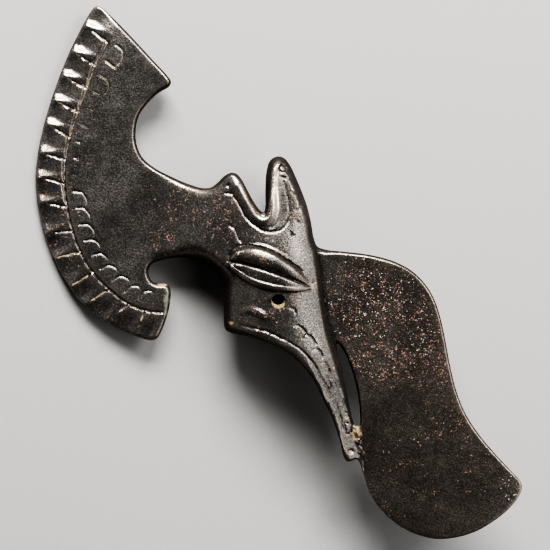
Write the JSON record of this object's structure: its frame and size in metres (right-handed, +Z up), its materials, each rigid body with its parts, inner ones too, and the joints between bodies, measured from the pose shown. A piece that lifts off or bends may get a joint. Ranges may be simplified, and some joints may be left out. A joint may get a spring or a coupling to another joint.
{
  "type": "eye axe head",
  "caption": "Cast bronze shaft-hole axe head with a fluted crescent crest, an animal-mouth socket with a raised eye, and a broad drooping blade.",
  "frame": {"origin": "centre of the bounding box on the floor it lies on", "axes": "+Y up the socket's line away from its mouth, +X from the crest towards the blade, +Z up, out of the upper face"},
  "size_m": [0.134, 0.1492, 0.0264],
  "materials": {
    "bronze": "dark brown patina, worn edges, red-brown speckles"
  },
  "bodies": {
    "root": {"axe_head": "bronze"}
  },
  "joints": []
}
